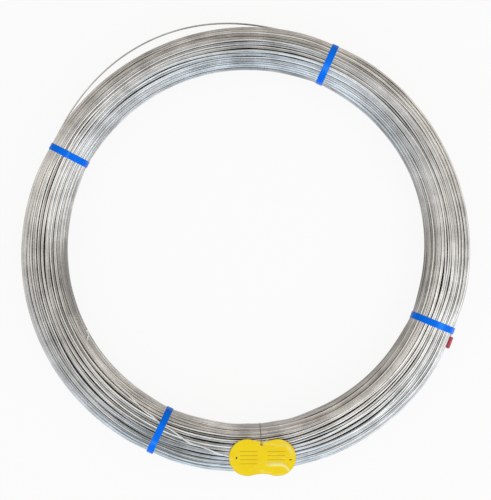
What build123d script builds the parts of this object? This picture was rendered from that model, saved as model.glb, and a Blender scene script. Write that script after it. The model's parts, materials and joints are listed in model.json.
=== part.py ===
from build123d import *
import os
from math import acos, atan2, cos, degrees, isclose, radians, sin, sqrt

# A coil of galvanised oval wire that lies flat on the floor, held by four straps, with its label
# tag tied on. Millimetres, +Z up along the coil's axis, origin on that axis at floor level.
# Seen from above, +X is to the right and +Y is away; angles run counter-clockwise from +X.

# Wire, oval in section, wound with its long side along the coil's axis
wire_width = 2.7
wire_thickness = 2.2

# Coil, wound looser on one side, so that its outer turns lie off the centre of its bore
bore_diameter = 536
coil_build = 64
coil_height = 64
shoulder_radius = 28
loose_offset = 6
loose_angle = 270
turn_slack = 0.6
turn_relief = 0.9

# Outermost turn that has sprung away from the coil
sprung_angle = 112.5
sprung_half_span_angle = 33
sprung_rise = 12
sprung_height_share = 0.62
sprung_bury_angle = 5

# Straps
strap_width = 10
strap_thickness = 0.8
strap_clearance = 0.3
strap_lap_length = 22
strap_lap_height_share = 0.36
upper_right_angle = 65.9
upper_left_angle = 152.7
lower_left_angle = 244.9
lower_right_angle = 337.8

# Outer end of the wire, which opens out from the coil, under the lower right strap, into the cap
tail_bury = 1.0
tail_opening = 40
tail_height_share = 0.5

# Cap on the wire's outer end
cap_length = 18
cap_wall = 1.3
cap_end_wall = 1.6
cap_clearance = 0.15
cap_chamfer = 0.8
cap_coil_gap = 0.3
cap_strap_gap = 4.4

# Label tag, two round lobes with a waist between them, reaching over the coil's outer edge
tag_angle = 274.5
tag_lobe_radius = 27
tag_lobe_offset = 22
tag_waist_radius = 55
tag_thickness = 0.6
tag_hole_diameter = 3.2
tag_hole_margin = 4.5
tag_seat_gap = 0.15

# Tie that goes round the coil, up through the tag's hole and over the tag's inner edge
tie_diameter = 0.75
tie_sides = 8
tie_clearance = 0.3
tie_rise_run = 1.0
tie_edge_run = 1.5
tie_landing = 1.5

# Derived sizes of the coil
bore_radius = bore_diameter / 2
outer_radius = bore_radius + coil_build
mean_radius = bore_radius + coil_build / 2
coil_base = strap_clearance + strap_thickness
coil_top = coil_base + coil_height
sprung_height = coil_base + coil_height * sprung_height_share
tail_height = coil_base + coil_height * tail_height_share

# A shoulder is drawn as the flats that touch its arc a third and two thirds of the way round,
# so each corner of the section has three vertices
shoulder_vertex_angles = (15, 45, 75)


def along(angle, distance, height):
    """The point at this angle and distance from the coil's axis, at this height."""
    return (distance * cos(radians(angle)), distance * sin(radians(angle)), height)


outer_centre = Vector(along(loose_angle, loose_offset, 0))


def loose_share(distance):
    """How far out in the coil's build this distance is: 0 at the bore, 1 at the outer side."""
    return (distance - bore_radius) / coil_build


def circle_distance(radius, offset, swing):
    """How far it is to a circle whose centre is this far off, at this swing from where the centre lies."""
    return offset * cos(radians(swing)) + sqrt(radius**2 - (offset * sin(radians(swing))) ** 2)


def turn_distance(distance, angle):
    """How far from the bore's axis, at this angle, the turn of this radius lies. Its centre is off the
    axis in proportion to how far out in the build it is."""
    return circle_distance(distance, loose_offset * loose_share(distance), angle - loose_angle)


def at_angle(points, angle):
    """The points of a section of the coil as they lie in the upright plane at this angle."""
    return [(turn_distance(x, angle), y) for x, y in points]


def upright(angle, origin=(0, 0, 0)):
    """An upright plane: x runs outward at the angle, y runs up."""
    return Plane(origin, x_dir=along(angle, 1, 0), z_dir=along(angle - 90, 1, 0))


def shoulder(centre_x, centre_y, first_angle, gap):
    """The vertices of one corner of the coil's section, this far outside it."""
    reach = (shoulder_radius + gap) / cos(radians(shoulder_vertex_angles[0]))
    angles = [radians(first_angle + vertex) for vertex in shoulder_vertex_angles]
    return [(centre_x + reach * cos(a), centre_y + reach * sin(a)) for a in angles]


def corners(gap):
    """The section's four corners, counter-clockwise from the outer top one, this far outside it."""
    inner_x = bore_radius + shoulder_radius
    outer_x = outer_radius - shoulder_radius
    lower_y = coil_base + shoulder_radius
    upper_y = coil_top - shoulder_radius
    return [
        shoulder(outer_x, upper_y, 0, gap),
        shoulder(inner_x, upper_y, 90, gap),
        shoulder(inner_x, lower_y, 180, gap),
        shoulder(outer_x, lower_y, 270, gap),
    ]


def turn_ridges(start, end, inward):
    """The valleys and crests of the turns that show between two points of one end of the coil."""
    run = end[0] - start[0]
    turns = round(abs(run) / (wire_width + turn_slack))
    pitch = run / turns
    points = []
    for turn in range(turns):
        points.append((start[0] + (turn + 1 / 2) * pitch, start[1] + inward * turn_relief))
        points.append((start[0] + (turn + 1) * pitch, start[1]))
    return points[:-1]


# Coil: one turned ring, its turns cut as ridges into the crown of both ends. Each vertex of its
# section goes round on a turn of its own, and a band spans each two neighbouring turns.
outer_top, inner_top, inner_bottom, outer_bottom = corners(0)
upper_ridges = turn_ridges(outer_top[-1], inner_top[0], -1)
lower_ridges = turn_ridges(inner_bottom[-1], outer_bottom[0], 1)
section = [*outer_top, *upper_ridges, *inner_top, *inner_bottom, *lower_ridges, *outer_bottom]


def turn(distance, height):
    """The turn of this radius, at this height."""
    centre = along(loose_angle, loose_offset * loose_share(distance), height)
    return Edge.make_circle(distance, Plane(centre))


def band(first, second):
    """The face between the turns of two neighbouring vertices, a true cylinder where they are alike."""
    if isclose(first[0], second[0]):
        return Face.extrude(turn(*first), (0, 0, second[1] - first[1]))
    return Face.make_surface_from_curves(turn(*first), turn(*second))


bands = [band(section[vertex - 1], section[vertex]) for vertex in range(len(section))]

# The sprung turn is an arc about its own centre, out along sprung_angle, that meets the coil's
# outer turn flush at both ends of its span
sprung_peak = outer_radius + sprung_rise - wire_thickness / 2
sprung_foot = outer_radius - wire_thickness / 2
sprung_foot_along = sprung_foot * cos(radians(sprung_half_span_angle))
sprung_foot_across = sprung_foot * sin(radians(sprung_half_span_angle))
sprung_offset = (sprung_peak**2 - sprung_foot**2) / (2 * (sprung_peak - sprung_foot_along))
sprung_radius = sprung_peak - sprung_offset
sprung_half_arc = degrees(atan2(sprung_foot_across, sprung_foot_along - sprung_offset)) + sprung_bury_angle
sprung_centre = outer_centre + Vector(along(sprung_angle, sprung_offset, sprung_height))

# The tail is an arc opened wider than the turn it leaves, just under the coil's outer side. It ends
# where the cap comes clear of the coil and of the strap that crosses the tail, and from there the
# wire runs straight in the cap. The angles are about the outer side's centre.
tail_start_radius = outer_radius - wire_thickness / 2 - tail_bury
tail_radius = tail_start_radius + tail_opening
cap_mouth_radius = outer_radius + cap_coil_gap + wire_thickness / 2 + cap_wall
tail_arc_cosine = (tail_radius**2 + tail_opening**2 - cap_mouth_radius**2) / (2 * tail_radius * tail_opening)
tail_arc = degrees(acos(tail_arc_cosine))
tail_mouth_along = tail_radius * cos(radians(tail_arc)) - tail_opening
tail_mouth_across = tail_radius * sin(radians(tail_arc))
cap_mouth_swing = degrees(atan2(tail_mouth_across, tail_mouth_along))
strap_to_mouth_swing = degrees((strap_width / 2 + cap_strap_gap) / cap_mouth_radius)
strap_place = Vector(along(lower_right_angle, turn_distance(outer_radius, lower_right_angle), 0)) - outer_centre
strap_swing = degrees(atan2(strap_place.Y, strap_place.X))
tail_leave_angle = strap_swing - strap_to_mouth_swing + cap_mouth_swing
tail_centre = outer_centre - Vector(along(tail_leave_angle, tail_opening, 0))
cap_mouth = upright(tail_leave_angle - tail_arc, tail_centre)
cap_grip = cap_length - cap_end_wall

with BuildPart() as wire_coil:
    add(Solid(Shell(bands)))
    with BuildSketch(upright(sprung_angle - sprung_half_arc, sprung_centre)):
        with Locations((sprung_radius, 0)):
            SlotOverall(wire_width, wire_thickness, rotation=90)
    revolve(axis=Axis(sprung_centre, (0, 0, 1)), revolution_arc=2 * sprung_half_arc)
    with BuildSketch(cap_mouth) as tail_end:
        with Locations((tail_radius, tail_height)):
            SlotOverall(wire_width, wire_thickness, rotation=90)
    revolve(axis=Axis(tail_centre, (0, 0, 1)), revolution_arc=tail_arc)
    extrude(tail_end.sketch, amount=cap_grip - cap_clearance)

# Straps: flat bands closed round the section, each with its two ends lapped on the outer side.
# One of them passes over the tail, whose outer side lies furthest out at that strap's far edge.
tail_swing = tail_leave_angle - strap_swing + degrees(strap_width / 2 / outer_radius)
tail_reach = circle_distance(tail_radius + wire_thickness / 2, -tail_opening, tail_swing)


def strap_course(angle, gap, over_tail):
    """The strap's course round the coil's section at this angle, this far outside it."""
    outer_top, inner_top, inner_bottom, outer_bottom = corners(gap)
    bulge = [(tail_reach + gap, tail_height)] if over_tail else []
    return at_angle([*outer_top, *inner_top, *inner_bottom, *outer_bottom, *bulge], angle)


def make_strap(angle, over_tail=False):
    """A strap in the upright plane at this angle."""
    inner = strap_course(angle, strap_clearance, over_tail)
    outer = strap_course(angle, strap_clearance + strap_thickness, over_tail)
    lap = strap_course(angle, strap_clearance + 2 * strap_thickness, over_tail)
    lap_place = (turn_distance(outer_radius, angle), coil_base + coil_height * strap_lap_height_share)
    with BuildPart() as strap:
        with BuildSketch(upright(angle)):
            with BuildLine():
                Polyline(*lap, close=True)
            make_face()
            with Locations(lap_place):
                Rectangle(coil_build, strap_lap_length, mode=Mode.INTERSECT)
        extrude(amount=strap_width / 2, both=True)
        with BuildSketch(upright(angle)):
            with BuildLine():
                Polyline(*outer, close=True)
            make_face()
        extrude(amount=strap_width / 2, both=True)
        with BuildSketch(upright(angle)):
            with BuildLine():
                Polyline(*inner, close=True)
            make_face()
        extrude(amount=strap_width / 2, both=True, mode=Mode.SUBTRACT)
    return strap.part


straps = {
    "strap_upper_right": make_strap(upper_right_angle),
    "strap_upper_left": make_strap(upper_left_angle),
    "strap_lower_left": make_strap(lower_left_angle),
    "strap_lower_right": make_strap(lower_right_angle, over_tail=True),
}

# Cap: a blind oval sleeve pushed onto the tail
with BuildPart() as end_cap:
    with BuildSketch(cap_mouth):
        with Locations((tail_radius, tail_height)):
            SlotOverall(wire_width + 2 * cap_wall, wire_thickness + 2 * cap_wall, rotation=90)
    extrude(amount=cap_length)
    chamfer(end_cap.faces().sort_by(Axis(cap_mouth.origin, cap_mouth.z_dir))[-1].edges(), cap_chamfer)
    with BuildSketch(cap_mouth):
        with Locations((tail_radius, tail_height)):
            SlotOverall(wire_width + 2 * cap_clearance, wire_thickness + 2 * cap_clearance, rotation=90)
    extrude(amount=cap_grip, mode=Mode.SUBTRACT)

# The tag's waist is an arc on each side that touches both lobes
waist_centre = sqrt((tag_lobe_radius + tag_waist_radius) ** 2 - tag_lobe_offset**2)
tag_waist_half = waist_centre - tag_waist_radius
lobe_half_arc = degrees(atan2(waist_centre, -tag_lobe_offset))
waist_arc = 2 * lobe_half_arc - 180

# The tie's course: it leaves the coil's crown near the crown's inner end, up through the tag's hole,
# which sets the tag's place, and comes down over the tag's inner edge onto the inner shoulder
tie_gap = tie_clearance + tie_diameter / 2
tie_level = coil_top + tie_gap
outer_top, inner_top, inner_bottom, outer_bottom = [
    at_angle(corner, tag_angle) for corner in corners(tie_gap)
]
tie_leave = inner_top[0][0] + tie_landing
tag_hole_distance = tie_leave - tie_rise_run
tag_inner_edge = tag_hole_distance - tag_hole_margin
tag_distance = tag_inner_edge + tag_waist_half
tag_base = tie_level + tie_diameter / 2 + tag_seat_gap
tag_top = tag_base + tag_thickness

# Tag: it lies on the tie, over the coil's upper end, with its long side along X
tag_plane = Plane(along(tag_angle, tag_distance, tag_base))
hole_place = tag_plane.to_local_coords(Vector(along(tag_angle, tag_hole_distance, tag_base)))

with BuildPart() as tag:
    with BuildSketch(tag_plane):
        with BuildLine():
            CenterArc((tag_lobe_offset, 0), tag_lobe_radius, -lobe_half_arc, 2 * lobe_half_arc)
            CenterArc((0, waist_centre), tag_waist_radius, -lobe_half_arc, waist_arc)
            CenterArc((-tag_lobe_offset, 0), tag_lobe_radius, 180 - lobe_half_arc, 2 * lobe_half_arc)
            CenterArc((0, -waist_centre), tag_waist_radius, 180 - lobe_half_arc, waist_arc)
        make_face()
        with Locations((hole_place.X, hole_place.Y)):
            Circle(tag_hole_diameter / 2, mode=Mode.SUBTRACT)
    extrude(amount=tag_thickness)

# Tie: a closed loop of thin wire with its bends where the section's corners are
tie_over = tag_top + tie_gap
tie_hump = [
    (tie_leave, tie_level),
    (tag_hole_distance - tie_rise_run, tie_over),
    (tag_inner_edge - tie_edge_run, tie_over),
]
tie_foot = (turn_distance(mean_radius, tag_angle), coil_base - tie_gap)

with BuildPart() as tag_tie:
    with BuildLine(upright(tag_angle)) as tie_course:
        Polyline(tie_foot, *outer_bottom, *outer_top, *tie_hump, *inner_top[1:], *inner_bottom, close=True)
    with BuildSketch(Plane(along(tag_angle, *tie_foot), z_dir=along(tag_angle, 1, 0))):
        RegularPolygon(tie_diameter / 2, tie_sides)
    sweep(path=tie_course.line, transition=Transition.RIGHT)

wire_coil.part.label = "wire_coil"
tag.part.label = "tag"
tag_tie.part.label = "tag_tie"
end_cap.part.label = "end_cap"

os.makedirs("parts", exist_ok=True)
export_step(wire_coil.part, "parts/wire_coil.step")
for name, strap in straps.items():
    strap.label = name
    export_step(strap, "parts/" + name + ".step")
export_step(tag.part, "parts/tag.step")
export_step(tag_tie.part, "parts/tag_tie.step")
export_step(end_cap.part, "parts/end_cap.step")
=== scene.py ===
"""Looks for a coil of galvanised oval wire that lies flat: each turn that shows is a wire of its own,
with the four straps, the label tag, its tie and the cap on the wire's outer end."""

import json

import bpy
import numpy as np
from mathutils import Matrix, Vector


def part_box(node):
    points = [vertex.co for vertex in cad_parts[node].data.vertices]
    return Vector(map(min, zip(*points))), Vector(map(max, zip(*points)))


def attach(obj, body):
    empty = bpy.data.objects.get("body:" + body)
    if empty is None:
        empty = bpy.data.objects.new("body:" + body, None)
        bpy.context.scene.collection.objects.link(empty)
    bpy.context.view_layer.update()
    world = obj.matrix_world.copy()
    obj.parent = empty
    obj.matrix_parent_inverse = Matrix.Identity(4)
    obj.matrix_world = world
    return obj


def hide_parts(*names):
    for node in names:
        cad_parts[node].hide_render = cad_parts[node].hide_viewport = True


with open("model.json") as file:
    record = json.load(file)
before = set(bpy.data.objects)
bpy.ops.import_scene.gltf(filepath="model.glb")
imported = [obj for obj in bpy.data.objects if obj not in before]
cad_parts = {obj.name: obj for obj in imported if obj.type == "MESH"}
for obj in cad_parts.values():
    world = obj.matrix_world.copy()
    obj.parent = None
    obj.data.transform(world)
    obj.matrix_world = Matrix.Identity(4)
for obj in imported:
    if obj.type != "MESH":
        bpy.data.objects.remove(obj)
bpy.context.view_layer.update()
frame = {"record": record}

# sizes, in metres, from the solids
MM = 0.001
coil_low, coil_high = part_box("wire_coil")
mounts = {mount["name"]: mount for mount in frame["record"]["mounts"]}
BORE_RADIUS = mounts["coil_eye"]["dims"]["r_mm"] * MM
OUTER_RADIUS = coil_high.x
MID_RADIUS = (OUTER_RADIUS + BORE_RADIUS) / 2
HALF_BUILD = (OUTER_RADIUS - BORE_RADIUS) / 2
MID_HEIGHT = (coil_high.z + coil_low.z) / 2
HALF_HEIGHT = (coil_high.z - coil_low.z) / 2

# the camera looks straight down from here, and a picture 500 high is 750 mm at the coil's mid height
CAMERA_DISTANCE = 1.40
PICTURE_HEIGHT = 0.750
PICTURE_CENTRE = (-0.54 * MM, -5.18 * MM)
SENSOR_WIDTH = 36

# the wire, the room a turn takes on the section, the section's roundness and the layers further in
WIRE_WIDTH = 2.7 * MM
WIRE_THICKNESS = 2.2 * MM
WIRE_ROUNDNESS = 2.3
TURN_SPACING = 2.74 * MM
CROWN_ROUNDNESS = 2.2
WALL_ROUNDNESS = 2.6
LAYER_DEPTH = 2.35 * MM
CORE_DEPTH = 4.9 * MM

# how finely each piece is divided: rows along it, or in a turn of it, and columns round it
TURN_ROWS, TURN_COLUMNS = 220, 10
BENEATH_ROWS, BENEATH_COLUMNS = 140, 6
CORE_ROWS, CORE_COLUMNS = 180, 96
INNER_END_ROWS, INNER_END_COLUMNS = 140, 10
TAIL_ROWS, TAIL_COLUMNS = 60, 12
CAP_COLUMNS = 28
STRAP_ROWS, STRAP_COLUMNS = 240, 28
TAG_ROWS, TAG_COLUMNS = 48, 260
TIE_ROWS, TIE_COLUMNS = 300, 8
TIE_END_ROWS, TIE_END_COLUMNS = 24, 10

# how far the loose bundle is from round, in millimetres: waves round the coil, cosine and sine share
OUTER_SHAPE = [(0, 1.1, 0), (1, 0.1, -6.0), (2, 1.0, 2.0), (3, -0.4, -1.1)]
INNER_SHAPE = [(0, -0.2, 0), (1, 0.4, 0.0), (2, 1.6, 0.95)]

# the strap over the wire's outer end draws the bundle in: angle and reach in degrees, and depth
DENT_ANGLE, DENT_REACH, DENT_DEPTH = 336.5, 8.0, 2.4 * MM

# the sprung turn: the middle and half of its span in degrees, its rise, height and bow
SPRUNG_ANGLE = 114.8
SPRUNG_HALF_SPAN = 36.5
SPRUNG_RISE = 15.6 * MM
SPRUNG_HEIGHT_SHARE = 0.62
SPRUNG_HEIGHT = coil_low.z + SPRUNG_HEIGHT_SHARE * (coil_high.z - coil_low.z)
SPRUNG_BOW = 1.45

# the straps: their section, the room under them, how far they press the wire in, and their lap, which
# ends just under the middle of the outer side
STRAP_WIDTH = 10 * MM
STRAP_THICKNESS = 0.7 * MM
STRAP_ROUNDNESS = 7
STRAP_CLEARANCE = 0.3 * MM
STRAP_BITE = 0.8 * MM
STRAP_LAP = 22 * MM
LAP_END = -1 * MM
LAP_RAMP = 5 * MM
LAP_GAP = 0.05 * MM


# shared formulas
def bell(offset, reach):
    """A bell that is 1 in its middle: e to the power of minus the square of offset over reach."""
    return np.exp(-((offset / reach) ** 2))


def eased(share):
    """A smooth step from 0 to 1: three times the share's square less twice its cube."""
    share = np.clip(share, 0, 1)
    return share**2 * (3 - 2 * share)


def degrees_from(angle, place):
    """How far an angle is from a place round the coil, in degrees from -180 to 180."""
    return np.mod(angle - place + 180, 360) - 180


def turned(angle):
    """The level direction at this angle."""
    return np.stack([np.cos(angle), np.sin(angle), np.zeros_like(angle)], axis=-1)


def box_angle(node):
    """The angle about the coil's axis, in degrees, of the middle of a node's box."""
    low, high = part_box(node)
    return float(np.degrees(np.arctan2(low.y + high.y, low.x + high.x)) % 360)


STRAPS = ("strap_upper_right", "strap_upper_left", "strap_lower_left", "strap_lower_right")
STRAP_ANGLES = {name: box_angle(name) for name in STRAPS}


# the coil's section
def walk_section():
    """The section through the centres of the outer turns: the superellipse |x/a|^p + |z/b|^q = 1,
    walked from the outer side up over the crown, at equal steps of length, with its normal's lean."""
    half_x = HALF_BUILD - WIRE_THICKNESS / 2
    half_z = HALF_HEIGHT - WIRE_THICKNESS / 2
    swing = np.linspace(0, 2 * np.pi, 40001)
    across, upward = np.cos(swing), np.sin(swing)
    x = half_x * np.sign(across) * np.abs(across) ** (2 / CROWN_ROUNDNESS)
    z = half_z * np.sign(upward) * np.abs(upward) ** (2 / WALL_ROUNDNESS)
    run = np.concatenate([[0.0], np.cumsum(np.hypot(np.diff(x), np.diff(z)))])
    walk = np.linspace(0, run[-1], 2001)
    x, z = np.interp(walk, run, x), np.interp(walk, run, z)
    lean = np.unwrap(np.arctan2(np.gradient(z, walk), np.gradient(x, walk))) - np.pi / 2
    return walk, x, z, lean


WALK, WALK_X, WALK_Z, WALK_LEAN = walk_section()
ROUND = WALK[-1]
TURNS = int(round(ROUND / TURN_SPACING))
PITCH = ROUND / TURNS

# the radius at which the camera sees each point of the upper half, measured at the coil's mid height,
# and the ring's seen width, which spills a little past the solid's
upper_half = (WALK > 0.02 * ROUND) & (WALK < 0.48 * ROUND)
SEEN_WALK = WALK[upper_half][::-1]
SEEN_RADIUS = ((MID_RADIUS + WALK_X) * CAMERA_DISTANCE / (CAMERA_DISTANCE - WALK_Z))[upper_half][::-1]
SEEN_SPILL = 1.4 * MM
SEEN_INNER_EDGE = BORE_RADIUS - SEEN_SPILL
SEEN_WIDTH = OUTER_RADIUS + SEEN_SPILL - SEEN_INNER_EDGE


def walk_seen_at(share):
    """How far round the section the camera sees this share of the way from the ring's inner edge to its
    outer edge."""
    return np.interp(SEEN_INNER_EDGE + SEEN_WIDTH * np.asarray(share), SEEN_RADIUS, SEEN_WALK)


def share_seen_at(walk):
    """The share of the way across the ring at which the camera sees this place on the section."""
    radius = np.interp(np.mod(walk, ROUND), SEEN_WALK[::-1], SEEN_RADIUS[::-1])
    return (radius - SEEN_INNER_EDGE) / SEEN_WIDTH


def walk_at_height(height):
    """How far round the section the outer side is at this height."""
    outer_side = WALK < 0.25 * ROUND
    return float(np.interp(height - MID_HEIGHT, WALK_Z[outer_side], WALK[outer_side]))


def walk_on_crown(radius):
    """How far round the section the crown is at this radius from the axis."""
    crown = (WALK > 0.12 * ROUND) & (WALK < 0.38 * ROUND)
    return float(np.interp(radius - MID_RADIUS, WALK_X[crown][::-1], WALK[crown][::-1]))


def out_of_round(angle, shape):
    """How far a side of the bundle stands off its circle: a sum of waves round the coil."""
    return sum(MM * (c * np.cos(count * angle) + s * np.sin(count * angle)) for count, c, s in shape)


def on_coil(angle, walk, lift):
    """Points on the coil with their outward normals: the section at this distance round its edge,
    lifted along its normal and turned about the axis. Its outer and inner side each stand off their
    circle, and a point between them in proportion, and the outer side has a dent, a bell round the coil."""
    walk = np.mod(walk, ROUND)
    x = np.interp(walk, WALK, WALK_X)
    z = np.interp(walk, WALK, WALK_Z)
    lean = np.interp(walk, WALK, WALK_LEAN)
    share = (x + HALF_BUILD) / (2 * HALF_BUILD)
    dent = DENT_DEPTH * bell(degrees_from(np.degrees(angle), DENT_ANGLE), DENT_REACH)
    outer = out_of_round(angle, OUTER_SHAPE) - dent
    inner = out_of_round(angle, INNER_SHAPE)
    radius = MID_RADIUS + x + share * outer + (1 - share) * inner + lift * np.cos(lean)
    height = MID_HEIGHT + z + lift * np.sin(lean)
    points = np.stack([radius * np.cos(angle), radius * np.sin(angle), height], axis=-1)
    normals = np.stack([np.cos(lean) * np.cos(angle), np.cos(lean) * np.sin(angle), np.sin(lean)], axis=-1)
    return points, normals


# meshes from grids
def oval(thickness, width, count, roundness=2.0):
    """A closed profile: the superellipse of this thickness and width, at equal steps of its angle."""
    swing = np.arange(count) * 2 * np.pi / count
    u = np.sign(np.cos(swing)) * np.abs(np.cos(swing)) ** (2 / roundness)
    v = np.sign(np.sin(swing)) * np.abs(np.sin(swing)) ** (2 / roundness)
    return np.stack([u * thickness / 2, v * width / 2], axis=-1)


def sweep_profile(path, outward, profile, ring=False):
    """Carries a flat profile along a path: each row is path + outward * u + side * v, where side is
    the path's direction crossed with outward. The profile has a row for each point of the path."""
    if ring:
        ahead = np.roll(path, -1, axis=0) - np.roll(path, 1, axis=0)
    else:
        ahead = np.gradient(path, axis=0)
    ahead = ahead / np.linalg.norm(ahead, axis=1, keepdims=True)
    outward = outward - np.sum(outward * ahead, axis=1, keepdims=True) * ahead
    outward = outward / np.linalg.norm(outward, axis=1, keepdims=True)
    side = np.cross(ahead, outward)
    return path[:, None] + outward[:, None] * profile[..., :1] + side[:, None] * profile[..., 1:]


def steps_along(path, ring=False):
    """The length along a path at each of its points, with the closing step where it is a ring."""
    if ring:
        path = np.concatenate([path, path[:1]])
    return np.concatenate([[0.0], np.cumsum(np.linalg.norm(np.diff(path, axis=0), axis=1))])


def set_values(mesh, name, values):
    """Gives each point of a mesh its value of an attribute."""
    values = np.asarray(values, np.float32).ravel()
    mesh.attributes.new(name, "FLOAT", "POINT").data.foreach_set("value", values)


def lay_mesh(name, grid, ring=False):
    """A mesh over a grid of rows along a path and columns round a profile. Columns always close on
    themselves, rows do where the path is a ring, and otherwise a face closes each end."""
    rows, columns = grid.shape[:2]
    i = np.arange(rows if ring else rows - 1)[:, None]
    j = np.arange(columns)[None, :]
    next_i, next_j = (i + 1) % rows, (j + 1) % columns
    corners = [i * columns + j, i * columns + next_j, next_i * columns + next_j, next_i * columns + j]
    quads = np.stack(corners, axis=-1).reshape(-1, 4)
    ends = [] if ring else [j[0, ::-1].tolist(), ((rows - 1) * columns + j[0]).tolist()]
    mesh = bpy.data.meshes.new(name)
    mesh.from_pydata(grid.reshape(-1, 3).tolist(), [], quads.tolist() + ends)
    mesh.polygons.foreach_set("use_smooth", np.arange(len(mesh.polygons)) < len(quads))
    mesh.update()
    piece = bpy.data.objects.new(name, mesh)
    bpy.context.scene.collection.objects.link(piece)
    return piece


def lay_length(name, path, outward, shape, tone, roll=0.0, ring=False):
    """A length of wire or strap: its shape, turned at each row by the angle roll, carried along its path.
    Its UV map is the length along the path and round the shape, and tone is a value for each row."""
    rows, columns = len(path), len(shape)
    roll = np.broadcast_to(roll, rows)[:, None]
    u = shape[:, 0] * np.cos(roll) - shape[:, 1] * np.sin(roll)
    v = shape[:, 0] * np.sin(roll) + shape[:, 1] * np.cos(roll)
    piece = lay_mesh(name, sweep_profile(path, outward, np.stack([u, v], axis=-1), ring), ring)
    along, around = steps_along(path, ring), steps_along(shape, ring=True)
    i, j = np.indices((rows if ring else rows - 1, columns))
    u = np.stack([along[i], along[i], along[i + 1], along[i + 1]], axis=-1)
    v = np.stack([around[j], around[j + 1], around[j + 1], around[j]], axis=-1)
    corners = np.zeros((len(piece.data.loops), 2), np.float32)
    corners[: u.size] = np.stack([u, v], axis=-1).reshape(-1, 2)
    piece.data.uv_layers.new(name="length").data.foreach_set("uv", corners.ravel())
    set_values(piece.data, "tone", np.repeat(np.broadcast_to(tone, rows), columns))
    return piece


# the winding
# gaps between turns that show on the upper side: from and to angle, share of the way from the ring's
# inner edge to its outer edge, and width in millimetres
GAPS = np.array(
    [
        # right
        (-14, 14, 0.04, 1.5), (20, 58, 0.06, 1.6), (-16, 16, 0.22, 1.0), (-14, 13, 0.515, 1.3),
        (-12, 18, 0.755, 1.5), (-10, 10, 0.85, 1.1), (6, 24, 0.93, 1.5), (20, 36, 0.215, 0.9),
        (22, 50, 0.315, 1.5), (24, 57, 0.49, 1.9), (26, 56, 0.545, 1.7), (22, 50, 0.60, 1.1),
        (16, 34, 0.69, 0.8), (28, 46, 0.755, 1.6), (38, 66, 0.825, 1.6), (18, 34, 0.85, 0.8),
        (33, 58, 0.945, 1.3),
        # top
        (66, 84, 0.84, 0.9), (68, 86, 0.70, 0.9), (68, 84, 0.625, 0.9), (68, 82, 0.50, 0.9),
        (68, 82, 0.395, 0.9), (80, 97, 0.305, 1.4), (82, 97, 0.44, 1.3), (83, 98, 0.51, 1.3),
        (83, 100, 0.65, 1.0), (84, 99, 0.78, 1.3), (82, 120, 0.865, 2.4), (82, 98, 0.12, 1.0),
        (106, 126, 0.11, 0.9), (98, 146, 0.31, 1.8), (99, 132, 0.425, 1.5), (100, 126, 0.37, 1.0),
        (106, 148, 0.71, 1.1), (110, 143, 0.825, 1.6), (112, 133, 0.915, 1.7), (119, 143, 0.76, 1.6),
        (134, 152, 0.58, 1.5), (136, 154, 0.45, 1.0),
        # left
        (152, 172, 0.805, 1.5), (152, 170, 0.70, 0.9), (152, 168, 0.60, 0.9), (154, 172, 0.055, 1.0),
        (164, 198, 0.525, 1.6), (168, 187, 0.915, 1.1), (172, 191, 0.76, 1.1), (154, 174, 0.44, 0.8),
        (170, 198, 0.15, 1.2), (178, 200, 0.40, 1.0), (192, 215, 0.965, 1.3), (192, 216, 0.91, 1.4),
        (194, 218, 0.745, 1.9), (187, 247, 0.638, 2.8), (196, 244, 0.828, 1.6), (224, 248, 0.775, 1.5),
        (199, 246, 0.505, 1.7), (198, 226, 0.44, 0.9), (212, 240, 0.335, 1.2), (196, 234, 0.255, 2.0),
        (184, 214, 0.205, 1.5), (219, 247, 0.175, 1.9),
        # bottom
        (244, 277, 0.15, 1.7), (246, 275, 0.045, 1.1), (228, 258, 0.60, 1.7), (250, 271, 0.60, 2.3),
        (246, 269, 0.735, 1.7), (246, 269, 0.81, 1.4), (252, 269, 0.92, 1.3), (247, 269, 0.43, 1.2),
        (246, 276, 0.30, 1.1), (283, 305, 0.86, 1.3), (280, 329, 0.705, 2.5), (281, 323, 0.655, 1.8),
        (278, 301, 0.56, 1.6), (280, 334, 0.505, 1.4), (284, 319, 0.43, 1.4), (282, 342, 0.172, 1.7),
        (289, 307, 0.04, 1.7), (296, 343, 0.825, 1.7), (306, 327, 0.76, 1.1), (312, 334, 0.56, 0.9),
        (316, 331, 0.90, 0.9), (307, 323, 0.98, 1.0), (340, 359, 0.445, 1.4), (343, 357, 0.61, 1.1),
        (340, 362, 0.23, 1.0), (348, 366, 0.10, 0.9),
    ]
)
GAP_REACH = 7 * MM

# waves along the wire: amplitude in millimetres, radians or shares of tone, waves in a turn and phase
SWAY = [
    (0.50, 2.06, 0.1), (0.40, 2.955, 0.6), (0.28, 5.08, 0.3), (0.45, 1.11, 0.8), (0.22, 1.46, 0.2),
    (0.18, 2.57, 0.7), (0.12, 4.42, 0.4),
]
LEVEL = [
    (0.34, 1.13, 0.2), (0.30, 2.19, 0.7), (0.24, 2.83, 0.4), (0.20, 4.21, 0.9),
    (0.32, 0.37, 0.5), (0.28, 1.61, 0.1), (0.22, 2.57, 0.3), (0.12, 4.39, 0.6),
]
ROLL = [(0.26, 0.83, 0.3), (0.20, 1.57, 0.8), (0.12, 2.41, 0.1)]
TONE = [(0.30, 0.43, 0.2), (0.26, 1.38, 0.7), (0.21, 0.71, 0.4), (0.19, 2.63, 0.9), (0.12, 5.36, 0.3)]

# where the turns are held down, in degrees: under the straps and the tag, over this reach, which takes
# these shares of the level and the roll away
HELD_AT = np.array([*STRAP_ANGLES.values(), 266.0, 275.0, 284.0])
HELD_REACH = 5
LEVEL_HELD = 0.95
ROLL_HELD = 0.8

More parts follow.
